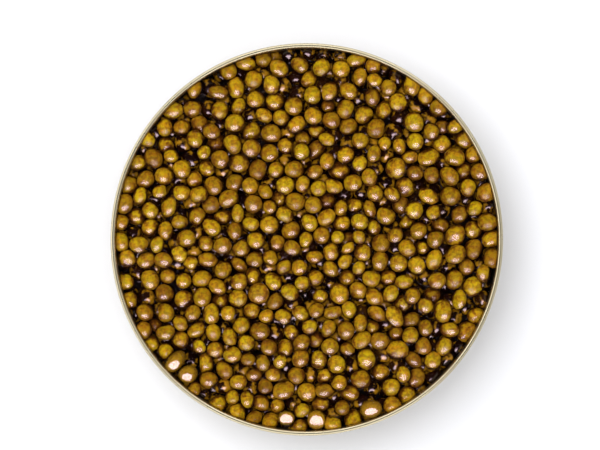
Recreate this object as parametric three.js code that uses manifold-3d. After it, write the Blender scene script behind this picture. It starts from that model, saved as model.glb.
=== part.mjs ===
// An open caviar tin, filled almost to its rolled rim with osetra roe.
// Lengths are in millimetres, +Z is up, and the origin is under the middle of the base.
import * as THREE from "three";
import { mergeVertices } from "three/addons/utils/BufferGeometryUtils.js";
import Module from "manifold-3d";

const wasm = await Module();
wasm.setup();

// The tin: a drawn cup of sheet metal with a rolled rim
const rimRadius = 33;
const rollRadius = 0.4;
const tinHeight = 18;
const sheet = 0.36;
const tinSides = 52;
const cornerSteps = 2;
const rollSteps = 5;
const mouthRadius = rimRadius - 2 * rollRadius;
const wallRadius = mouthRadius + sheet;

// Its wall carries a bead, where the lid's skirt stops
const beadHeight = 8.6;
const beadHalfWidth = 0.65;
const beadDepth = 0.4;

// Its base stands on a ring round a panel that is pressed up
const cornerRadius = 1.8;
const panelRise = 0.8;
const panelRadius = 26;
const ringInnerRadius = 27;
const ringOuterRadius = wallRadius - cornerRadius;

// The roe: eggs that float up to the lid's plane, and a bedding of eggs under them
const clearance = 0.4;
const roeRadius = mouthRadius - clearance;
const roeHeight = 17.7;
const bedDepth = 2.5;
const eggRadius = 1.53;
const eggRadiusSpread = 0.17;
const eggSpacing = 2.96;
const wallPress = 0.5;
const layerDrop = 2.3;
const layers = 3;
const deepestCeiling = 3.4;
const ceilingPower = 1.4;
const longestStretch = 0.16;
const packing = 1.1547;
const facetWidth = 1.08;
const shownDepth = 2.2;
const hiddenShare = 1.6;

// How the eggs settle
const seed = 6;
const heapTurn = 34.5;
const rounds = 240;
const roundsPerSearch = 10;
const reach = 0.5;
const lift = 0.006;
const pushShare = 0.4;

// Draws numbers from 0 to 1, the same ones on every run.
function seededDraws(start) {
  let state = start;
  return () => {
    state = (Math.imul(state, 1664525) + 1013904223) >>> 0;
    return state / 4294967296;
  };
}

// How far out an egg's middle may lie: the eggs at the wall are pressed against it.
function outermost(radius) {
  return mouthRadius - wallPress * radius;
}

// Scatters the eggs over the layers of a disc: a sunflower's spiral, shaken by half an egg.
function scatterEggs(draw) {
  const perLayer = Math.round((mouthRadius / eggSpacing) ** 2 * Math.PI * packing);
  const goldenAngle = Math.PI * (3 - Math.sqrt(5));
  const eggs = [];
  for (let layer = 0; layer < layers; layer++) {
    for (let k = 0; k < perLayer; k++) {
      const radius = eggRadius * (1 + eggRadiusSpread * (draw() + draw() + draw() - 1.5));
      const out = outermost(radius) * Math.sqrt((k + 0.5) / perLayer);
      const angle = goldenAngle * k + layer;
      eggs.push({
        radius,
        x: out * Math.cos(angle) + (draw() - 0.5) * eggSpacing,
        y: out * Math.sin(angle) + (draw() - 0.5) * eggSpacing,
        z: -radius - layerDrop * layer - draw(),
        ceiling: -deepestCeiling * draw() ** ceilingPower,
        spin: 2 * Math.PI * draw(),
        stretch: 1 + longestStretch * draw() ** 2,
      });
    }
  }
  return eggs;
}

// Lists the pairs of eggs that may touch before the next search.
function closePairs(eggs) {
  const pairs = [];
  for (let i = 0; i < eggs.length; i++) {
    for (let j = i + 1; j < eggs.length; j++) {
      const far = eggs[i].radius + eggs[j].radius + reach;
      const dx = eggs[i].x - eggs[j].x;
      const dy = eggs[i].y - eggs[j].y;
      const dz = eggs[i].z - eggs[j].z;
      if (dx * dx + dy * dy + dz * dz < far * far) pairs.push([i, j]);
    }
  }
  return pairs;
}

// One round of settling: touching eggs push each other apart, and all float up to the lid.
function settleOnce(eggs, pairs) {
  const moves = eggs.map(() => ({ x: 0, y: 0, z: lift }));
  for (const [i, j] of pairs) {
    const dx = eggs[i].x - eggs[j].x;
    const dy = eggs[i].y - eggs[j].y;
    const dz = eggs[i].z - eggs[j].z;
    const apart = Math.sqrt(dx * dx + dy * dy + dz * dz);
    const push = (pushShare * Math.max(eggs[i].radius + eggs[j].radius - apart, 0)) / apart;
    moves[i].x += push * dx;
    moves[i].y += push * dy;
    moves[i].z += push * dz;
    moves[j].x -= push * dx;
    moves[j].y -= push * dy;
    moves[j].z -= push * dz;
  }
  eggs.forEach((egg, i) => {
    egg.x += moves[i].x;
    egg.y += moves[i].y;
    egg.z = Math.min(egg.z + moves[i].z, egg.ceiling - egg.radius);
    const out = Math.sqrt(egg.x * egg.x + egg.y * egg.y);
    const back = Math.min(outermost(egg.radius) / out, 1);
    egg.x *= back;
    egg.y *= back;
  });
}

// Turns the whole heap in the tin.
function turnHeap(eggs) {
  const angle = THREE.MathUtils.degToRad(heapTurn);
  return eggs.map((egg) => ({
    ...egg,
    x: egg.x * Math.cos(angle) - egg.y * Math.sin(angle),
    y: egg.x * Math.sin(angle) + egg.y * Math.cos(angle),
    spin: egg.spin + angle,
  }));
}

// Places the eggs, with their heights counted from the lid's plane.
function settledEggs() {
  const eggs = scatterEggs(seededDraws(seed));
  let pairs = [];
  for (let round = 0; round < rounds; round++) {
    if (round % roundsPerSearch === 0) pairs = closePairs(eggs);
    settleOnce(eggs, pairs);
  }
  return turnHeap(eggs);
}

// A closed mesh as a solid that can be joined.
function solidOf(geometry) {
  const bare = geometry.clone();
  bare.deleteAttribute("normal");
  bare.deleteAttribute("uv");
  const merged = mergeVertices(bare);
  const vertProperties = merged.getAttribute("position").array;
  const triVerts = new Uint32Array(merged.getIndex().array);
  return new wasm.Manifold(new wasm.Mesh({ numProp: 3, vertProperties, triVerts }));
}

// A joined solid as a mesh geometry again.
function geometryOf(solid) {
  const { vertProperties, triVerts } = solid.getMesh();
  const geometry = new THREE.BufferGeometry();
  geometry.setAttribute("position", new THREE.BufferAttribute(vertProperties, 3));
  geometry.setIndex(new THREE.BufferAttribute(triVerts, 1));
  geometry.computeVertexNormals();
  return geometry;
}

// Points of an arc in the half plane of the profile, angles in quarter turns.
function arc(x, z, radius, from, to, steps) {
  return Array.from({ length: steps + 1 }, (_, k) => {
    const angle = (Math.PI / 2) * (from + ((to - from) * k) / steps);
    return new THREE.Vector2(x + radius * Math.cos(angle), z + radius * Math.sin(angle));
  });
}

// A turned solid, with its axis upright.
function turned(profile, sides) {
  return new THREE.LatheGeometry(profile, sides).rotateX(Math.PI / 2);
}

function tinGeometry() {
  const rollHeight = tinHeight - rollRadius;
  const at = (x, z) => new THREE.Vector2(x, z);
  return turned(
    [
      at(0, panelRise),
      at(panelRadius, panelRise),
      at(ringInnerRadius, 0),
      ...arc(ringOuterRadius, cornerRadius, cornerRadius, -1, 0, cornerSteps),
      at(wallRadius, beadHeight - beadHalfWidth),
      at(wallRadius + beadDepth, beadHeight),
      at(wallRadius, beadHeight + beadHalfWidth),
      at(wallRadius, rollHeight - rollRadius),
      ...arc(rimRadius - rollRadius, rollHeight, rollRadius, -0.5, 2, rollSteps),
      ...arc(ringOuterRadius, cornerRadius, cornerRadius - sheet, 0, -1, cornerSteps),
      at(ringInnerRadius, sheet),
      at(panelRadius, panelRise + sheet),
      at(0, panelRise + sheet),
    ],
    tinSides,
  );
}

// The bedding fills the tin up to the lower eggs.
function beddingGeometry() {
  const at = (x, z) => new THREE.Vector2(x, z);
  const floor = sheet + clearance;
  return turned(
    [
      at(0, panelRise + floor),
      at(panelRadius, panelRise + floor),
      at(ringInnerRadius, floor),
      ...arc(ringOuterRadius, cornerRadius, cornerRadius - floor, -1, 0, cornerSteps),
      at(roeRadius, roeHeight - bedDepth),
      at(0, roeHeight - bedDepth),
    ],
    tinSides,
  );
}

// What the eggs may fill: the tin's mouth, less the clearance.
function mouthGeometry() {
  const at = (x, z) => new THREE.Vector2(x, z);
  return turned([at(0, 0), at(roeRadius, 0), at(roeRadius, tinHeight), at(0, tinHeight)], tinSides);
}

// One egg as a twenty-sided bead with a corner on top, wider than the round egg that it covers.
function eggSolid(egg) {
  const bead = new THREE.IcosahedronGeometry(egg.radius);
  const golden = (1 + Math.sqrt(5)) / 2;
  bead.rotateX(Math.atan(1 / golden));
  bead.scale(facetWidth * egg.stretch, facetWidth / egg.stretch, 1);
  bead.rotateZ(egg.spin);
  bead.translate(egg.x, egg.y, roeHeight + egg.z);
  return solidOf(bead);
}

// The eggs that show from above: from the highest one down, each that no higher one half hides.
function shownEggs() {
  const top = (egg) => egg.z + egg.radius;
  const hides = (egg, above) => Math.hypot(egg.x - above.x, egg.y - above.y) < above.radius * hiddenShare;
  const shown = [];
  for (const egg of settledEggs().sort((a, b) => top(b) - top(a))) {
    const deep = top(egg) < -shownDepth;
    if (!deep && !shown.some((above) => hides(egg, above))) shown.push(egg);
  }
  return shown;
}

function roeGeometry() {
  const beads = shownEggs().map(eggSolid);
  const loose = wasm.Manifold.union(beads).intersect(solidOf(mouthGeometry()));
  return geometryOf(solidOf(beddingGeometry()).add(loose));
}

const goldLacquer = new THREE.MeshStandardMaterial({ color: 0xc9b47e, metalness: 1, roughness: 0.28 });
const roeGloss = new THREE.MeshStandardMaterial({ color: 0xa87a16, metalness: 0, roughness: 0.22 });

const caviarTin = new THREE.Group();

const tin = new THREE.Mesh(tinGeometry(), goldLacquer);
tin.name = "tin";
caviarTin.add(tin);

const roe = new THREE.Mesh(roeGeometry(), roeGloss);
roe.name = "roe";
caviarTin.add(roe);

export default caviarTin;
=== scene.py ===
import math

import bpy
import numpy as np
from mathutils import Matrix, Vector


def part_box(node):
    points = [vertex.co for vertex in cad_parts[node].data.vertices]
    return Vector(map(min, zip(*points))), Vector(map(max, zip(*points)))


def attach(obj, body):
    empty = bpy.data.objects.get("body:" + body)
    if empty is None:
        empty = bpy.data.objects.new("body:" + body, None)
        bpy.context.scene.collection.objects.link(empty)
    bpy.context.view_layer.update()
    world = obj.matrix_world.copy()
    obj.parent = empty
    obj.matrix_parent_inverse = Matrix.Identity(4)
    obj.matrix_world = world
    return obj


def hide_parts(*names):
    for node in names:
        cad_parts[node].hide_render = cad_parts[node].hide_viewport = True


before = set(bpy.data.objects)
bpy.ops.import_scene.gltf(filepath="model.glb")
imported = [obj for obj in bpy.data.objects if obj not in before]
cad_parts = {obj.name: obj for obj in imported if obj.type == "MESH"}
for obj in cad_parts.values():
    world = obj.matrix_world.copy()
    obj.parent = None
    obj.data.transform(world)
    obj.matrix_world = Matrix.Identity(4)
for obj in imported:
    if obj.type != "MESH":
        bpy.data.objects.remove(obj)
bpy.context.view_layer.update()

mm = 0.001                                   # every length below is in millimetres
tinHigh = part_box("tin")[1] / mm
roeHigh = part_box("roe")[1] / mm
rng = np.random.default_rng(7)               # the looks' own draws, the same ones on every run

# groups of pieces that a softbox may be kept to
wetPieces = bpy.data.collections.new("wetPieces")
metalPieces = bpy.data.collections.new("metalPieces")
deepPieces = bpy.data.collections.new("deepPieces")


def shade(red, green, blue):
    # a painter's 0 to 255 colour as the shader's linear one, by the sRGB curve
    tint = np.array([red, green, blue]) / 255
    return (*np.where(tint < 0.04045, tint / 12.92, ((tint + 0.055) / 1.055) ** 2.4).tolist(), 1.0)


def addNode(tree, kind, inputs=None, **settings):
    # one shader node, each of its sockets set to a value or joined to another node's socket
    node = tree.nodes.new(kind)
    for name, value in settings.items():
        setattr(node, name, value)
    for socket, value in (inputs or {}).items():
        if isinstance(value, bpy.types.NodeSocket):
            tree.links.new(value, node.inputs[socket])
        else:
            node.inputs[socket].default_value = value
    return node


def rampNode(tree, factor, stops):
    # a colour ramp through (position, colour) stops
    ramp = addNode(tree, "ShaderNodeValToRGB", {"Fac": factor})
    elements = ramp.color_ramp.elements
    while len(elements) < len(stops):
        elements.new(0.5)
    for element, (position, colour) in zip(elements, stops):
        element.position = position
        element.color = colour
    return ramp.outputs["Color"]


def fadeNode(tree, factor, start, end, first=0.0, last=1.0):
    # a value that goes from first to last while the factor goes from start to end
    return rampNode(tree, factor, [(start, (first, first, first, 1.0)), (end, (last, last, last, 1.0))])


def noiseNode(tree, place, scale, detail=2.0, roughness=0.5):
    # smooth noise from 0 to 1, with scale in bumps per metre
    sockets = {"Vector": place, "Scale": scale, "Detail": detail, "Roughness": roughness}
    return addNode(tree, "ShaderNodeTexNoise", sockets).outputs["Fac"]


def mathNode(tree, operation, first, second, third=0.0):
    # two values joined by one sum; a product may have a third value added to it
    sockets = {0: first, 1: second, 2: third}
    return addNode(tree, "ShaderNodeMath", sockets, operation=operation).outputs[0]


def mixNode(tree, factor, first, second, blend="MIX"):
    # two colours mixed
    sockets = {0: factor, 6: first, 7: second}
    return addNode(tree, "ShaderNodeMix", sockets, data_type="RGBA", blend_type=blend).outputs[2]


def bumpNode(tree, height, depth, strength=1.0):
    # a surface that rises by its height times depth, in millimetres
    sockets = {"Strength": strength, "Distance": depth * mm, "Height": height}
    return addNode(tree, "ShaderNodeBump", sockets).outputs["Normal"]


def eggValue(tree, name):
    # one of the numbers that the eggs' meshes carry
    return addNode(tree, "ShaderNodeAttribute", attribute_name=name).outputs["Fac"]


def newMaterial(name, constants):
    # a material with the shader's constant sockets set
    material = bpy.data.materials.new(name)
    material.use_nodes = True
    tree = material.node_tree
    for socket, value in constants.items():
        tree.nodes["Principled BSDF"].inputs[socket].default_value = value
    return material, tree, addNode(tree, "ShaderNodeTexCoord").outputs["Object"]


def feedShader(material, sockets):
    # worked-out colours, values and normals go into the shader
    tree = material.node_tree
    for socket, value in sockets.items():
        tree.links.new(value, tree.nodes["Principled BSDF"].inputs[socket])
    return material


def meshPiece(name, points, faces, material, slot):
    # a mesh from whole arrays of points and faces, smooth shaded, that rides on the part's one body
    mesh = bpy.data.meshes.new(name)
    mesh.from_pydata((points * mm).tolist(), [], [face for group in faces for face in group.tolist()])
    mesh.polygons.foreach_set("use_smooth", np.ones(len(mesh.polygons), bool))
    mesh.materials.append(material)
    piece = bpy.data.objects.new(name, mesh)
    bpy.context.scene.collection.objects.link(piece)
    (metalPieces if slot == "tin_metal" else wetPieces).objects.link(piece)
    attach(piece, "root")
    return piece


def addValues(piece, name, values):
    # one number for each point of the mesh
    piece.data.attributes.new(name, "FLOAT", "POINT").data.foreach_set("value", values.astype(np.float32))


def turnedShape(profile, sides):
    # each profile point (radius, height) carried round the axis: (r cos t, r sin t, z). The first and the
    # last point lie on the axis, and each is one point that a fan of triangles closes
    turn = 2 * np.pi * np.arange(sides) / sides
    radius, height = profile[1:-1, :1], profile[1:-1, 1:]
    rings = np.stack([radius * np.cos(turn), radius * np.sin(turn), height + 0 * turn], axis=-1)
    rings = rings.reshape(-1, 3)
    poles = [[0, 0, profile[0, 1]], [0, 0, profile[-1, 1]]]
    last = len(rings)
    side = np.arange(sides)
    nextSide = (side + 1) % sides
    ring = np.arange(len(profile) - 3)[:, None] * sides
    quads = np.stack([ring + side, ring + nextSide, ring + sides + nextSide, ring + sides + side], axis=-1)
    firstFan = np.stack([np.full(sides, last), nextSide, side], axis=1)
    lastFan = np.stack([last - sides + side, last - sides + nextSide, np.full(sides, last + 1)], axis=1)
    return np.concatenate([rings, poles]), [quads.reshape(-1, 4), firstFan, lastFan]


def arcPoints(middle, radius, start, end, steps):
    # points of an arc in the half plane of a profile: (x + r cos a, z + r sin a), a in degrees
    angle = np.radians(np.linspace(start, end, steps + 1))
    return np.stack([middle[0] + radius * np.cos(angle), middle[1] + radius * np.sin(angle)], axis=1)


# the tin
tinShape = {
    "sides": 240,
    "sheet": 0.36,                # the wall's thickness
    "rollRadius": 0.4,            # the rolled rim's tube
    "rollSteps": 32,
    "creaseDrop": 1.1,            # the wall ends this far under the roll's middle, in the roll's radii
    "beadHeight": 8.6,            # the ridge where a lid's skirt stops
    "beadHalfWidth": 0.75,
    "beadDepth": 0.4,
    "beadSteps": 14,
    "cornerRadius": 1.8,
    "cornerSteps": 10,
    "panelRise": 0.8,             # the base is pressed up inside its standing ring
    "panelRadius": 26.0,
    "panelSteps": 8,
    "ringInner": 27.0,
    "wallSteps": 5,               # rows of faces on each plain stretch of the wall's outside
    "wallInset": 0.04,            # they stop this share of it from its ends
    "insideSteps": 4,
    "pale": shade(212, 202, 174),
    "worn": shade(196, 184, 152),
    "lined": shade(164, 148, 108),
    "linedShare": 0.3,            # how far the fine turned lines darken the lacquer
    "lineDepth": 0.04,
    "roughness": 0.2,             # where the polish is best,
    "roughening": 0.16,           # and how much rougher it is where it is worst
}


def tinProfile(shape, rimRadius, rimHeight):
    # up the outside, round the roll and down the inside; the bead is depth * cos^2, the panel's step a
    # half cosine
    roll, sheet, corner = shape["rollRadius"], shape["sheet"], shape["cornerRadius"]
    mouth = rimRadius - 2 * roll
    wall = mouth + sheet
    cornerMiddle = (wall - corner, corner)
    rollMiddle = (rimRadius - roll, rimHeight - roll)
    rollFoot = rimHeight - 2 * roll
    crease = math.degrees(math.acos((wall - rollMiddle[0]) / roll))
    wallEnd = rollMiddle[1] - shape["creaseDrop"] * roll
    step = np.linspace(0, 1, shape["panelSteps"] + 1)
    stepRadius = shape["panelRadius"] + step * (shape["ringInner"] - shape["panelRadius"])
    stepHeight = shape["panelRise"] * (0.5 + 0.5 * np.cos(np.pi * step))
    across = np.linspace(-1, 1, shape["beadSteps"] + 1)
    beadRadius = wall + shape["beadDepth"] * np.cos(np.pi / 2 * across) ** 2
    beadHeight = shape["beadHeight"] + shape["beadHalfWidth"] * across
    upwards = np.linspace(shape["wallInset"], 1 - shape["wallInset"], shape["wallSteps"] + 1)[:, None]
    lowWall = [wall, corner] + upwards * [0, beadHeight[0] - corner]
    highWall = [wall, beadHeight[-1]] + upwards * [0, wallEnd - beadHeight[-1]]
    downwards = np.linspace(0, 1, shape["insideSteps"] + 1)[:, None]
    inside = [mouth, rollFoot] - downwards * [0, rollFoot - corner]
    halfway = shape["panelRadius"] / 2
    return np.concatenate([
        [[0, shape["panelRise"]], [halfway, shape["panelRise"]]],
        np.stack([stepRadius, stepHeight], axis=1),
        arcPoints(cornerMiddle, corner, -90, 0, shape["cornerSteps"]),
        lowWall,
        np.stack([beadRadius, beadHeight], axis=1),
        highWall,
        arcPoints(rollMiddle, roll, -crease, 180, shape["rollSteps"]),
        inside,
        arcPoints(cornerMiddle, corner - sheet, 0, -90, shape["cornerSteps"])[1:],
        np.stack([stepRadius, stepHeight + sheet], axis=1)[::-1],
        [[halfway, shape["panelRise"] + sheet], [0, shape["panelRise"] + sheet]],
    ])


def tinMaterial(shape):
    # pale gold lacquer on metal, with fine turned lines and a cloudy polish. The lines are noise over the
    # distance from the axis and the height, so that they run round the tin
    material, tree, place = newMaterial("paleGoldLacquer", {
        "Metallic": 1.0, "Coat Weight": 0.25, "Coat Roughness": 0.12, "Coat IOR": 1.45,
    })
    apart = addNode(tree, "ShaderNodeSeparateXYZ", {"Vector": place}).outputs
    level = addNode(tree, "ShaderNodeCombineXYZ", {"X": apart["X"], "Y": apart["Y"]}).outputs[0]
    outwards = addNode(tree, "ShaderNodeVectorMath", {0: level}, operation="LENGTH").outputs["Value"]
    ringPlace = addNode(tree, "ShaderNodeCombineXYZ", {"X": outwards, "Y": apart["Z"]}).outputs[0]
    lines = noiseNode(tree, ringPlace, scale=6000.0, detail=2.0, roughness=0.6)
    clouds = noiseNode(tree, place, scale=260.0, detail=4.0, roughness=0.6)
    clouded = mixNode(tree, clouds, shape["pale"], shape["worn"])
    lineShare = mathNode(tree, "MULTIPLY", lines, shape["linedShare"])
    return feedShader(material, {
        "Base Color": mixNode(tree, lineShare, clouded, shape["lined"]),
        "Roughness": mathNode(tree, "MULTIPLY_ADD", clouds, shape["roughening"], shape["roughness"]),
        "Normal": bumpNode(tree, lines, shape["lineDepth"], strength=0.05),
    })


tinPoints, tinFaces = turnedShape(tinProfile(tinShape, tinHigh.x, tinHigh.z), tinShape["sides"])
tinBody = meshPiece("tinBody", tinPoints, tinFaces, tinMaterial(tinShape), "tin_metal")
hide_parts("tin")
print("tin:", len(tinPoints), "points")


# where the eggs lie: the same rule and draws as the solid heap has
heap = {
    "seed": 6,
    "turn": 34.5,                 # the whole heap, turned in the tin, in degrees
    "mouthRadius": round(tinHigh.x, 2) - 2 * tinShape["rollRadius"],
    "wallPress": 0.5,             # an egg's middle comes this near to the wall, in its radii
    "lidHeight": round(roeHigh.z, 2),
    "eggRadius": 1.53,
    "eggRadiusSpread": 0.17,
    "eggSpacing": 2.96,
    "packing": 1.1547,            # eggs in a layer, over those of a square grid
    "layerDrop": 2.3,             # each layer starts this much lower
    "layers": 3,
    "deepestCeiling": 3.4,        # an egg floats up to a ceiling of its own, at most this far down
    "ceilingPower": 1.4,
    "longestStretch": 0.16,
    "rounds": 240,
    "roundsPerSearch": 10,
    "reach": 0.5,                 # eggs nearer than this are looked at as neighbours
    "lift": 0.006,                # how far the eggs rise in each round
    "pushShare": 0.4,             # how much of an overlap each of two eggs gives way by
}


def seededDraws(count, seed):
    # numbers from 0 to 1: state = state * 1664525 + 1013904223, kept under 2^32
    state, drawn = seed, []
    for _ in range(count):
        state = (state * 1664525 + 1013904223) % 2 ** 32
        drawn.append(state / 2 ** 32)
    return np.array(drawn)


def settledEggs(rule):
    # eggs start on a sunflower's spirals, layer under layer. In each round all rise a little, those that
    # touch push each other apart along the line through their middles, and lid and wall hold them in
    perLayer = round((rule["mouthRadius"] / rule["eggSpacing"]) ** 2 * np.pi * rule["packing"])
    count = perLayer * rule["layers"]
    # draws for each egg: three of its size, two of its place, one each of its depth, ceiling, turn and form
    draws = seededDraws(9 * count, rule["seed"]).reshape(count, 9).T
    radius = rule["eggRadius"] * (1 + rule["eggRadiusSpread"] * (draws[0] + draws[1] + draws[2] - 1.5))
    number = np.tile(np.arange(perLayer), rule["layers"])
    layer = np.repeat(np.arange(rule["layers"]), perLayer)
    outermost = rule["mouthRadius"] - rule["wallPress"] * radius
    out = outermost * np.sqrt((number + 0.5) / perLayer)
    angle = np.pi * (3 - np.sqrt(5)) * number + layer
    place = np.stack([
        out * np.cos(angle) + (draws[3] - 0.5) * rule["eggSpacing"],
        out * np.sin(angle) + (draws[4] - 0.5) * rule["eggSpacing"],
        -radius - rule["layerDrop"] * layer - draws[5],
    ], axis=1)
    ceiling = -rule["deepestCeiling"] * draws[6] ** rule["ceilingPower"]
    upper, lower = np.triu_indices(count, 1)
    for step in range(rule["rounds"]):
        if step % rule["roundsPerSearch"] == 0:
            gap = place[upper] - place[lower]
            near = (gap ** 2).sum(axis=1) < (radius[upper] + radius[lower] + rule["reach"]) ** 2
            first, second = upper[near], lower[near]
        gap = place[first] - place[second]
        apart = np.sqrt((gap ** 2).sum(axis=1))
        push = rule["pushShare"] * np.maximum(radius[first] + radius[second] - apart, 0) / apart
        place[:, 2] += rule["lift"]
        np.add.at(place, first, push[:, None] * gap)
        np.subtract.at(place, second, push[:, None] * gap)
        place[:, 2] = np.minimum(place[:, 2], ceiling - radius)
        away = np.sqrt(place[:, 0] ** 2 + place[:, 1] ** 2)
        place[:, :2] *= np.minimum(outermost / away, 1)[:, None]
    turn = math.radians(rule["turn"])
    place[:, :2] = place[:, :2] @ np.array([[np.cos(turn), np.sin(turn)], [-np.sin(turn), np.cos(turn)]])
    return {
        "place": place,           # heights are counted from the lid's plane
        "top": place[:, 2] + radius,
        "radius": radius,
        "spin": 2 * np.pi * draws[7] + turn,
        "stretch": 1 + rule["longestStretch"] * draws[8] ** 2,
    }


eggs = settledEggs(heap)
print("heap:", len(eggs["radius"]), "eggs settled")


# one egg's form, and how the eggs differ
eggForm = {
    "cells": 4,                   # the cube's lattice that is blown up to a ball: 96 quads
    "swelling": 1.1,              # eggs swell a little, and flatten where they touch
    "overlap": 0.05,              # the skins of touching eggs reach this far past the plane between them
    "flatEdge": 0.15,             # how softly a flat begins
    "pressedFully": 0.2,          # a point pressed in by this much touches another egg
    "dent": 0.32,                 # an egg's broad hollow or bulge, a share of its radius
    "lean": 0.2,                  # its egg-shaped lean
    "wallRadius": 32.16,          # the tin's wall holds the skins in here
    # a few eggs near the wall lie flat: x, y, and the flat's distance from the middle in radii
    "flats": [
        (-3.4, -30.1, 0.55), (1.6, -30.4, 0.6), (10.9, -28.5, 0.86),
        (-22.1, -20.6, 0.86), (-20.1, -22.8, 0.88),
    ],
    "flatLowestTop": -1.0,        # deeper eggs aren't taken for them
    "flatSoft": 0.05,
    "flatLean": 23.0,             # the flats lean to the front by this angle, in degrees
    "flatRise": 0.2,              # their tops stand this high over the lid's plane, at the brim
    "flatRoom": 1.9,              # eggs nearer than this sink to the depth below
    "flatSink": 3.0,
    "coverReach": 0.35,           # how far a higher egg's painted shade reaches past its touch
    "coverGain": 2.0,             # how soon an egg counts as a higher one
    "lumps": 4,                   # hollows in each yolk
    "lumpDepth": 0.24,
    "lumpWidth": 0.12,
}


def cubeBall(cells):
    # the points of a cube's surface lattice, pushed out to length 1: d = t / |t|, t = tan(45 deg * c)
    line = np.arange(cells + 1)
    lattice = np.stack(np.meshgrid(line, line, line, indexing="ij"), axis=-1).reshape(-1, 3)
    lattice = lattice[((lattice == 0) | (lattice == cells)).any(axis=1)]
    number = np.full((cells + 1,) * 3, -1)
    number[tuple(lattice.T)] = np.arange(len(lattice))
    warped = np.tan(np.pi / 4 * (2 * lattice / cells - 1))
    directions = warped / np.linalg.norm(warped, axis=1)[:, None]
    b, c = (side.ravel() for side in np.meshgrid(np.arange(cells), np.arange(cells), indexing="ij"))
    faces = []
    for axis in range(3):
        for side, order in ((cells, (0, 1, 2, 3)), (0, (3, 2, 1, 0))):
            corners = []
            for db, dc in ((0, 0), (1, 0), (1, 1), (0, 1)):
                corner = np.empty((len(b), 3), int)
                corner[:, axis] = side
                corner[:, (axis + 1) % 3] = b + db
                corner[:, (axis + 2) % 3] = c + dc
                corners.append(number[tuple(corner.T)])
            faces.append(np.stack([corners[k] for k in order], axis=1))
    return directions, np.concatenate(faces)


def randomDirections(count):
    # arrows of length 1: three normal draws each, over their length
    arrow = rng.normal(size=(count, 3))
    return arrow / np.linalg.norm(arrow, axis=1)[:, None]


def takeFlats(eggs, form):
    # the nearest high egg to each spot is moved there and up to the brim, and eggs in its way sink. The pairs
    # of eggs that may touch are listed after that
    flat = []
    for *spot, _ in form["flats"]:
        away = np.linalg.norm(eggs["place"][:, :2] - spot, axis=1)
        away[flat] = np.inf
        this = np.argmin(np.where(eggs["top"] < form["flatLowestTop"], np.inf, away))
        inTheWay = (away < form["flatRoom"]) & (eggs["top"] > -form["flatSink"])
        inTheWay[this] = False
        drop = form["flatSink"] + eggs["top"][inTheWay]
        eggs["place"][inTheWay, 2] -= drop
        eggs["top"][inTheWay] -= drop
        eggs["place"][this, :2] = spot
        eggs["place"][this, 2] += form["flatRise"] - eggs["top"][this]
        eggs["top"][this] = 0
        flat.append(this)
    upper, lower = np.triu_indices(len(eggs["radius"]), 1)
    near = np.linalg.norm(eggs["place"][upper] - eggs["place"][lower], axis=1)
    near = near < eggs["radius"][upper] + eggs["radius"][lower] + heap["reach"]
    eggs["flat"] = flat
    eggs["pairs"] = (upper[near], lower[near])


def eggSkins(eggs, directions, form):
    # point = middle + swelling * radius * bulge(d) * d, drawn out by s along one level axis and in by 1/s
    # across it, with bulge(d) = 1 + a (d.u)^2 + b (d.v)^3 and an a, b, u and v of its own for each egg
    count = len(eggs["radius"])
    a = form["dent"] * rng.uniform(-1, 1, count)
    b = form["lean"] * rng.uniform(-1, 1, count)
    bulge = 1 + a[:, None] * (randomDirections(count) @ directions.T) ** 2
    bulge = bulge + b[:, None] * (randomDirections(count) @ directions.T) ** 3
    bulge /= bulge.mean(axis=1)[:, None]
    ball = bulge[..., None] * directions
    along = np.stack([np.cos(eggs["spin"]), np.sin(eggs["spin"]), 0 * eggs["spin"]], axis=1)[:, None]
    across = np.stack([-np.sin(eggs["spin"]), np.cos(eggs["spin"]), 0 * eggs["spin"]], axis=1)[:, None]
    stretch = eggs["stretch"][:, None, None]
    ball = ball + (stretch - 1) * (ball * along).sum(axis=2)[..., None] * along
    ball = ball + (1 / stretch - 1) * (ball * across).sum(axis=2)[..., None] * across
    return eggs["place"][:, None] + form["swelling"] * eggs["radius"][:, None, None] * ball


def pressTogether(skins, eggs, form):
    # a point that reaches past the plane between two eggs moves back from it by k log(1 + exp(reach / k)),
    # and so it does at the flats of a few eggs; the wall holds in what reaches past its radius. An egg that
    # lies up a slope covers a point by gain * sin(slope) * exp(reach / coverReach), both factors at most 1;
    # that cover is painted as shade on the yolks
    soft = form["flatEdge"]
    back = np.zeros_like(skins)
    paintedCoverShade = np.zeros(skins.shape[:2])
    for this, other in (eggs["pairs"], eggs["pairs"][::-1]):
        gap = eggs["place"][other] - eggs["place"][this]
        apart = np.linalg.norm(gap, axis=1)
        towards = gap / apart[:, None]
        both = eggs["radius"][this] + eggs["radius"][other]
        plane = apart * eggs["radius"][this] / both + form["overlap"]
        fromMiddle = skins[this] - eggs["place"][this][:, None]
        reach = (fromMiddle * towards[:, None]).sum(axis=2) - plane[:, None]
        push = soft * np.logaddexp(0, reach / soft)
        np.add.at(back, this, push[..., None] * towards[:, None])
        above = np.clip(form["coverGain"] * towards[:, 2:], 0, 1)
        np.add.at(paintedCoverShade, this, above * np.exp(np.minimum(reach, 0) / form["coverReach"]))
    skins = skins - back
    pressed = np.clip(np.linalg.norm(back, axis=2) / form["pressedFully"], 0, 1)
    lean = np.radians(form["flatLean"])
    forwards = np.array([0, -np.sin(lean), np.cos(lean)])
    for this, (_, _, height) in zip(eggs["flat"], form["flats"]):
        reach = (skins[this] - eggs["place"][this]) @ forwards - height * eggs["radius"][this]
        skins[this] -= form["flatSoft"] * np.logaddexp(0, reach / form["flatSoft"])[:, None] * forwards
    held = np.minimum(form["wallRadius"] / np.linalg.norm(skins[..., :2], axis=2), 1)
    skins[..., :2] *= held[..., None]
    # points held by the wall count as pressed too, so they get painted light, as from the gold wall's
    # reflection
    return skins, np.maximum(pressed, held < 1), np.minimum(paintedCoverShade, 1)


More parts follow.
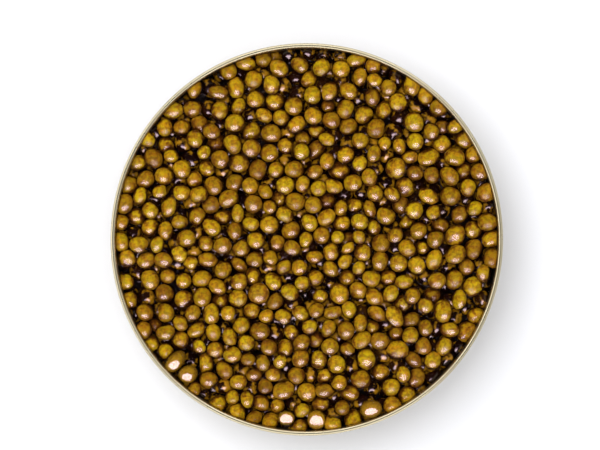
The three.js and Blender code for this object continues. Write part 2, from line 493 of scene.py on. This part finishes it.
def lumpyYolks(count, directions, form):
    # a yolk's radius as a share of a round one: 1 - sum of depth * exp((d.u - 1) / width), u at random
    share = np.ones((count, len(directions)))
    for _ in range(form["lumps"]):
        towards = randomDirections(count) @ directions.T
        depth = form["lumpDepth"] * rng.uniform(0, 1, (count, 1))
        share -= depth * np.exp((towards - 1) / form["lumpWidth"])
    return share[..., None]


# all the eggs' skins, pressed together and held under the brim
ballDirections, ballFaces = cubeBall(eggForm["cells"])
eggs["gloss"] = rng.uniform(0, 1, len(eggs["radius"]))
takeFlats(eggs, eggForm)
eggs["gloss"][eggs["flat"]] = 1
skins, pressed, paintedCoverShade = pressTogether(eggSkins(eggs, ballDirections, eggForm), eggs, eggForm)
skins[..., 2] = np.minimum(skins[..., 2] + heap["lidHeight"], tinHigh.z)
middles = eggs["place"] + [0, 0, heap["lidHeight"]]


# clear eggs near the top: a brown wet skin, and a golden yolk inside it
clearEggs = {
    "lowestTop": -2.2,            # deeper eggs are dark ones, with painted shade
    "yolkShare": (0.84, 0.95),    # a yolk's width over its egg's
    "fullest": 0.985,             # and where its egg is pressed
    "yolkDrift": 0.6,             # how far a yolk may lie off its egg's middle, of the room it has
    "dullShare": 0.28,            # eggs with less brine on them
    "deepest": 4.0,               # an egg's depth counts from 0 on top to 1 this far down
    "dullestTone": 0.12,
    "depthShadeAndBrine": 0.45,              # what an egg's tone loses at the deepest: painted shade where less light reaches, and brine over it
    "shadeStart": 0.62,           # painted shade: a yolk darkens below this height on its ball,
    "depthShadeRise": 0.3,               # so much higher up on the deepest eggs, where less light reaches,
    "higherEggShade": 0.42,             # and near a higher egg, as painted shade from it,
    "contactGlow": 1.0,           # and so much lower down where it touches another egg, as painted light through both
    "fraying": 1.8,               # noise in that edge
}

# their skins: wet ones, ones with less brine on them, and thicker ones on the few that lie flat
brownSkin = (shade(34, 12, 0), shade(66, 32, 2))
goldenSkin = (shade(128, 90, 20), shade(160, 120, 24))
skinKinds = {
    "clearSkins": {"name": "wetEggSkin", "alpha": 0.27, "shine": 1.0, "bump": 0.12, "colours": brownSkin},
    "dullSkins": {"name": "dullEggSkin", "alpha": 0.27, "shine": 0.45, "bump": 0.2, "colours": brownSkin},
    "flatSkins": {"name": "flatEggSkin", "alpha": 0.6, "shine": 0.88, "bump": 0.1, "colours": goldenSkin},
}

# the yolks' colours, from the dullest tone to the brightest and from a yellow hue to an amber one
yolkColours = {
    "yellow": [(0.0, shade(172, 130, 18)), (0.25, shade(204, 163, 19)), (1.0, shade(242, 208, 22))],
    "amber": [(0.0, shade(170, 122, 16)), (0.25, shade(206, 157, 19)), (1.0, shade(242, 194, 22))],
    "ochreMottle": shade(242, 208, 255),     # both mottles multiply the colour
    "brownMottle": shade(178, 172, 232),
    # painted shade: the yolks' lower sides, and their undersides, where less light falls
    "paintedShadeFlank": shade(124, 72, 14),
    "paintedShadeUnderside": shade(50, 21, 4),
    "paintedContactLight": shade(226, 160, 40),          # painted light, as if it came through where eggs touch
    "paintedContactShare": 0.55,                    # and how strong it gets
}

# eggs down in the shade of the others; their dark tones are painted shade
deepEggs = {
    "lowestTop": -5.4,                       # the bedding hides what lies deeper
    # painted shade: dark tones for eggs that little light reaches
    "shadedTones": [(0.0, shade(18, 6, 4)), (0.6, shade(38, 15, 4)), (1.0, shade(84, 54, 10))],
    "darkBlotch": shade(10, 0, 2),
    "darkBlotchShare": 0.7,                       # how strong the darker blotches get
    "goldenPatch": shade(150, 106, 18),            # golden patches by noise
}


def skinMaterial(name, alpha, shine, bump, colours):
    # a thin clear skin under a film of brine, wavy and blotched with two colours; some eggs are glossier
    material, tree, place = newMaterial(name, {"Alpha": alpha, "IOR": 1.5, "Specular IOR Level": shine})
    blotches = noiseNode(tree, place, scale=500.0, detail=2.0)
    waves = noiseNode(tree, place, scale=180.0, detail=0.0)
    return feedShader(material, {
        "Base Color": rampNode(tree, blotches, [(0.3, colours[0]), (0.7, colours[1])]),
        "Roughness": fadeNode(tree, eggValue(tree, "gloss"), 0.3, 0.8, 0.24, 0.18),
        "Normal": bumpNode(tree, waves, bump),
    })


def yolkMaterial(colours):
    # golden yolk, mottled with ochre and brown; each egg has its own tone. Painted shade darkens its lower
    # sides and underside, more near higher eggs and on deeper ones, with an edge frayed by noise, and painted
    # light shows where eggs touch
    material, tree, place = newMaterial("goldenYolk", {"Specular IOR Level": 0.05})
    tone = eggValue(tree, "tone")
    yellow = rampNode(tree, tone, colours["yellow"])
    amber = rampNode(tree, tone, colours["amber"])
    own = mixNode(tree, eggValue(tree, "hue"), yellow, amber)
    patches = noiseNode(tree, place, scale=1000.0, detail=2.0, roughness=0.6)
    ochreShare = fadeNode(tree, patches, 0.43, 0.6, last=0.85)
    ochre = mixNode(tree, ochreShare, own, colours["ochreMottle"], "MULTIPLY")
    clouds = noiseNode(tree, place, scale=1700.0, detail=2.0, roughness=0.7)
    brownShare = fadeNode(tree, clouds, 0.43, 0.62, last=0.8)
    mottled = mixNode(tree, brownShare, ochre, colours["brownMottle"], "MULTIPLY")
    ragged = noiseNode(tree, place, scale=1000.0, detail=3.0, roughness=0.6)
    ragged = mathNode(tree, "SUBTRACT", ragged, 0.5)
    frayed = mathNode(tree, "MULTIPLY_ADD", ragged, clearEggs["fraying"], eggValue(tree, "edge"))
    # painted shade on the yolk's lower sides, darker still towards its underside; noise flecks leave gold in
    # it
    shaded = mixNode(tree, fadeNode(tree, frayed, 0.0, 0.36), mottled, colours["paintedShadeFlank"])
    grain = noiseNode(tree, place, scale=1400.0, detail=2.0, roughness=0.6)
    flecks = fadeNode(tree, grain, 0.48, 0.6, first=1.0, last=0.35)
    deepShadeShare = mathNode(tree, "MULTIPLY", fadeNode(tree, frayed, 0.24, 0.58), flecks)
    dark = mixNode(tree, deepShadeShare, shaded, colours["paintedShadeUnderside"])
    # painted light where eggs touch and no higher egg shades them
    touch = mathNode(tree, "MULTIPLY", eggValue(tree, "touch"), colours["paintedContactShare"])
    return feedShader(material, {
        "Base Color": mixNode(tree, touch, dark, colours["paintedContactLight"]),
        "Roughness": mathNode(tree, "MULTIPLY_ADD", patches, 0.2, 0.45),
    })


def deepMaterial(looks):
    # wet, and dark brown with painted shade, with darker blotches and golden patches by noise
    material, tree, place = newMaterial("deepWetEgg", {
        "IOR": 1.45, "Specular IOR Level": 0.2, "Coat Weight": 0.3, "Coat Roughness": 0.14, "Coat IOR": 1.5,
    })
    darkBlotches = noiseNode(tree, place, scale=600.0, detail=3.0)
    darkBlotchShare = mathNode(tree, "MULTIPLY", darkBlotches, looks["darkBlotchShare"])
    own = rampNode(tree, eggValue(tree, "tone"), looks["shadedTones"])
    blotchedTone = mixNode(tree, darkBlotchShare, own, looks["darkBlotch"])
    goldenPatches = fadeNode(tree, noiseNode(tree, place, scale=700.0, detail=2.0), 0.5, 0.62)
    return feedShader(material, {
        "Base Color": mixNode(tree, goldenPatches, blotchedTone, looks["goldenPatch"]),
        "Roughness": mathNode(tree, "MULTIPLY_ADD", darkBlotches, 0.12, 0.08),
    })


def eggPiece(name, shapes, kept, material):
    # the kept eggs as one mesh, with a tone, a hue and a gloss for each egg. Each point has its edge, how far
    # it lies in painted shade: start + depthShadeRise * depth - d_z + higherEggShade * paintedCoverShade -
    # contactGlow * touch, where touch also sets the painted light of touching eggs
    count, corners = int(kept.sum()), shapes.shape[1]
    faces = (ballFaces[None] + corners * np.arange(count)[:, None, None]).reshape(-1, 4)
    piece = meshPiece(name, shapes[kept].reshape(-1, 3), [faces], material, "roe")
    touch = (pressed * (1 - paintedCoverShade))[kept]
    edge = clearEggs["shadeStart"] + clearEggs["depthShadeRise"] * eggs["depth"][kept][:, None]
    edge = edge - ballDirections[:, 2] + clearEggs["higherEggShade"] * paintedCoverShade[kept]
    edge = edge - clearEggs["contactGlow"] * touch
    addValues(piece, "edge", edge.ravel())
    addValues(piece, "touch", touch.ravel())
    for value in ("tone", "hue", "gloss"):
        addValues(piece, value, np.repeat(eggs[value][kept], corners))
    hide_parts("roe")
    print(name + ":", count, "eggs,", 2 * len(faces), "triangles")
    return piece


def eggYolks():
    # point = middle + share * lumpy * (skin - middle) + (1 - share) * drift, and where its egg is pressed the
    # share comes nearer to fullest by pressed^2
    share = rng.uniform(*clearEggs["yolkShare"], len(middles))[:, None, None]
    drift = (clearEggs["yolkDrift"] * eggs["radius"])[:, None] * randomDirections(len(middles))
    drift[eggs["flat"]] = 0
    share = share + (clearEggs["fullest"] - share) * pressed[..., None] ** 2
    lumpy = share * lumpyYolks(len(middles), ballDirections, eggForm)
    return middles[:, None] + lumpy * (skins - middles[:, None]) + (1 - share) * drift[:, None]


brightness = rng.uniform(0, 1, len(middles))
eggs["hue"] = rng.uniform(0, 1, len(middles))
eggs["depth"] = np.clip(-eggs["top"] / clearEggs["deepest"], 0, 1)
brightness = clearEggs["dullestTone"] + (1 - clearEggs["dullestTone"]) * brightness
# deeper eggs get a darker tone: painted shade where less light reaches, and brine over them
eggs["tone"] = np.clip(brightness - clearEggs["depthShadeAndBrine"] * eggs["depth"], 0, 1)
isClear = eggs["top"] > clearEggs["lowestTop"]
isDeep = ~isClear & (eggs["top"] > deepEggs["lowestTop"])
isFlat = np.isin(np.arange(len(middles)), eggs["flat"])
isDull = (eggs["gloss"] < clearEggs["dullShare"]) & ~isFlat
eggPiece("goldenYolks", eggYolks(), isClear, yolkMaterial(yolkColours))
whichEggs = {"clearSkins": isClear & ~isFlat & ~isDull, "dullSkins": isClear & isDull, "flatSkins": isFlat}
for name, looks in skinKinds.items():
    eggPiece(name, skins, whichEggs[name], skinMaterial(**looks))
deepPieces.objects.link(eggPiece("deepEggs", skins, isDeep, deepMaterial(deepEggs)))


# the dark bedding under the eggs: brine, and painted shade that stands for the heap's shaded depths
bedding = {
    "sides": 120,
    "rings": 60,
    "radius": 31.8,
    "top": -5.2,                  # from the lid's plane
    "ripple": 0.35,
    "rippleTurns": (2.1, 2.3),    # of its sine waves along X and Y, in radians for each millimetre
    "bottom": 1.5,
    "footInset": 2,
    "colours": (shade(4, 0, 1), shade(14, 4, 2)),
}


def brineAndShadeMaterial(colours):
    # dark wet brine and painted shade, blotched with two near-black colours
    material, tree, place = newMaterial("brineAndPaintedShade", {"Coat Weight": 0.2, "Coat Roughness": 0.05})
    darkBlotches = noiseNode(tree, place, scale=400.0, detail=3.0)
    return feedShader(material, {
        "Base Color": rampNode(tree, darkBlotches, [(0.3, colours[0]), (0.7, colours[1])]),
        "Roughness": mathNode(tree, "MULTIPLY_ADD", darkBlotches, 0.1, 0.1),
    })


def addBedding(shape):
    # a disc of height top + ripple * sin(a x) * sin(b y) on rings of points, closed below by a flat rim
    out = shape["radius"] * np.linspace(1, 0, shape["rings"])
    onTop = np.stack([out, np.full(len(out), heap["lidHeight"] + shape["top"])], axis=1)
    below = [[0, shape["bottom"]], [shape["radius"] - shape["footInset"], shape["bottom"]]]
    points, faces = turnedShape(np.concatenate([below, onTop]), shape["sides"])
    alongX, alongY = shape["rippleTurns"]
    wave = np.sin(alongX * points[:, 0]) * np.sin(alongY * points[:, 1])
    points[:, 2] += np.where(points[:, 2] > shape["bottom"], shape["ripple"] * wave, 0)
    piece = meshPiece("darkBedding", points, faces, brineAndShadeMaterial(shape["colours"]), "roe")
    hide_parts("roe")
    print("bedding:", len(points), "points")


addBedding(bedding)


# studio: pale floor, camera straight above, key light from the upper left, softbox towards the bottom
studio = {
    "pixel": 0.1679,              # one of the photograph's pixels at the rim's height
    "aim": (-1.14, 2.425),        # what the picture's middle shows, from the tin's middle
    "frameWidth": 600,
    "distance": 450.0,            # camera above the rim
    "sensor": 36.0,
    "floorSize": 4000.0,
    "floorColours": (shade(231, 232, 237), shade(233, 234, 239)),
    "roomColour": shade(250, 250, 252),
    "roomStrength": 0.04,
}

# the softboxes, each turned from +X towards +Y and raised, in degrees, round the tin. One that names a group
# of pieces is mirrored in it and lights nothing, like a softbox with flags round it
white = (1.0, 1.0, 1.0)
pink = (1.0, 0.76, 0.84)
rose = (1.0, 0.62, 0.85)
softboxes = {
    "keyLight": {"turn": 140, "rise": 70, "distance": 700, "size": (380, 380), "radiance": 5.4},
    "fillLight": {"turn": 90, "rise": 90, "distance": 900, "size": (1400, 1400), "radiance": 2.2},
    "tinSheenLeft": {
        "turn": 180, "rise": 34, "distance": 600, "size": (880, 600), "radiance": 1.75,
        "mirroredIn": metalPieces,
    },
    "tinSheenBack": {
        "turn": 90, "rise": 42, "distance": 600, "size": (880, 700), "radiance": 1.75,
        "mirroredIn": metalPieces,
    },
    "tinSheenFront": {
        "turn": -90, "rise": 34, "distance": 600, "size": (880, 600), "radiance": 1.75,
        "mirroredIn": metalPieces,
    },
    "tinSheenRight": {
        "turn": 0, "rise": 42, "distance": 600, "size": (880, 700), "radiance": 0.8,
        "mirroredIn": metalPieces,
    },
    "tinSheenTop": {
        "turn": 90, "rise": 90, "distance": 900, "size": (500, 500), "radiance": 0.2,
        "mirroredIn": metalPieces,
    },
    "frontSoftbox": {
        "turn": -90, "rise": 36, "distance": 450, "size": (820, 640), "radiance": 1.8, "tint": pink,
        "mirroredIn": wetPieces, "form": "ELLIPSE",
    },
    "frontCore": {
        "turn": -90, "rise": 42, "distance": 450, "size": (640, 500), "radiance": 14.0, "tint": pink,
        "mirroredIn": wetPieces, "form": "ELLIPSE",
    },
    "gapSoftbox": {
        "turn": -90, "rise": 66, "distance": 450, "size": (420, 280), "radiance": 4.5, "tint": rose,
        "mirroredIn": deepPieces,
    },
}


def addSoftbox(name, turn, rise, distance, size, radiance, tint=white, mirroredIn=None, form="RECTANGLE"):
    # a softbox facing the tin, its power pi * area * radiance
    light = bpy.data.lights.new(name, "AREA")
    light.shape = form
    light.size, light.size_y = size[0] * mm, size[1] * mm
    light.energy = math.pi * light.size * light.size_y * radiance
    light.color = tint
    box = bpy.data.objects.new(name, light)
    turn, rise = math.radians(turn), math.radians(rise)
    away = Vector((math.cos(turn) * math.cos(rise), math.sin(turn) * math.cos(rise), math.sin(rise)))
    box.location = away * distance * mm + Vector((0, 0, tinHigh.z * mm))
    box.rotation_euler = away.to_track_quat("Z", "Y").to_euler()
    box.visible_camera = False
    box.visible_glossy = mirroredIn is not None
    box.visible_diffuse = mirroredIn is None
    if mirroredIn is not None:
        box.light_linking.receiver_collection = mirroredIn
    bpy.context.scene.collection.objects.link(box)


def addFloor(room):
    # a flat square that reaches past the view
    material, tree, place = newMaterial("paleTable", {"Specular IOR Level": 0.0, "Roughness": 0.9})
    grain = noiseNode(tree, place, scale=3.0, detail=2.0)
    pale = rampNode(tree, grain, list(zip((0.0, 1.0), room["floorColours"])))
    feedShader(material, {"Base Color": pale})
    half = room["floorSize"] / 2 * mm
    corners = [(-half, -half, 0), (half, -half, 0), (half, half, 0), (-half, half, 0)]
    mesh = bpy.data.meshes.new("paleTable")
    mesh.from_pydata(corners, [], [(0, 1, 2, 3)])
    mesh.materials.append(material)
    floor = bpy.data.objects.new("paleTable", mesh)
    bpy.context.scene.collection.objects.link(floor)


def addRoom(room):
    # a faint pale light from all round
    world = bpy.data.worlds.new("paleRoom")
    world.use_nodes = True
    background = world.node_tree.nodes["Background"]
    background.inputs["Color"].default_value = room["roomColour"]
    background.inputs["Strength"].default_value = room["roomStrength"]
    bpy.context.scene.world = world


def addCamera(room):
    # a lens that shows frameWidth pixels of their real width at the rim's height
    lens = bpy.data.cameras.new("camera")
    lens.sensor_width = room["sensor"]
    lens.lens = room["sensor"] * room["distance"] / (room["frameWidth"] * room["pixel"])
    lens.clip_end = 10                       # metres
    camera = bpy.data.objects.new("camera", lens)
    camera.location = (room["aim"][0] * mm, room["aim"][1] * mm, (tinHigh.z + room["distance"]) * mm)
    bpy.context.scene.collection.objects.link(camera)
    bpy.context.scene.camera = camera
    bpy.context.scene.view_settings.view_transform = "Standard"


addFloor(studio)
for name, settings in softboxes.items():
    addSoftbox(name, **settings)
addRoom(studio)
addCamera(studio)
print("studio: floor,", len(softboxes), "softboxes and camera")
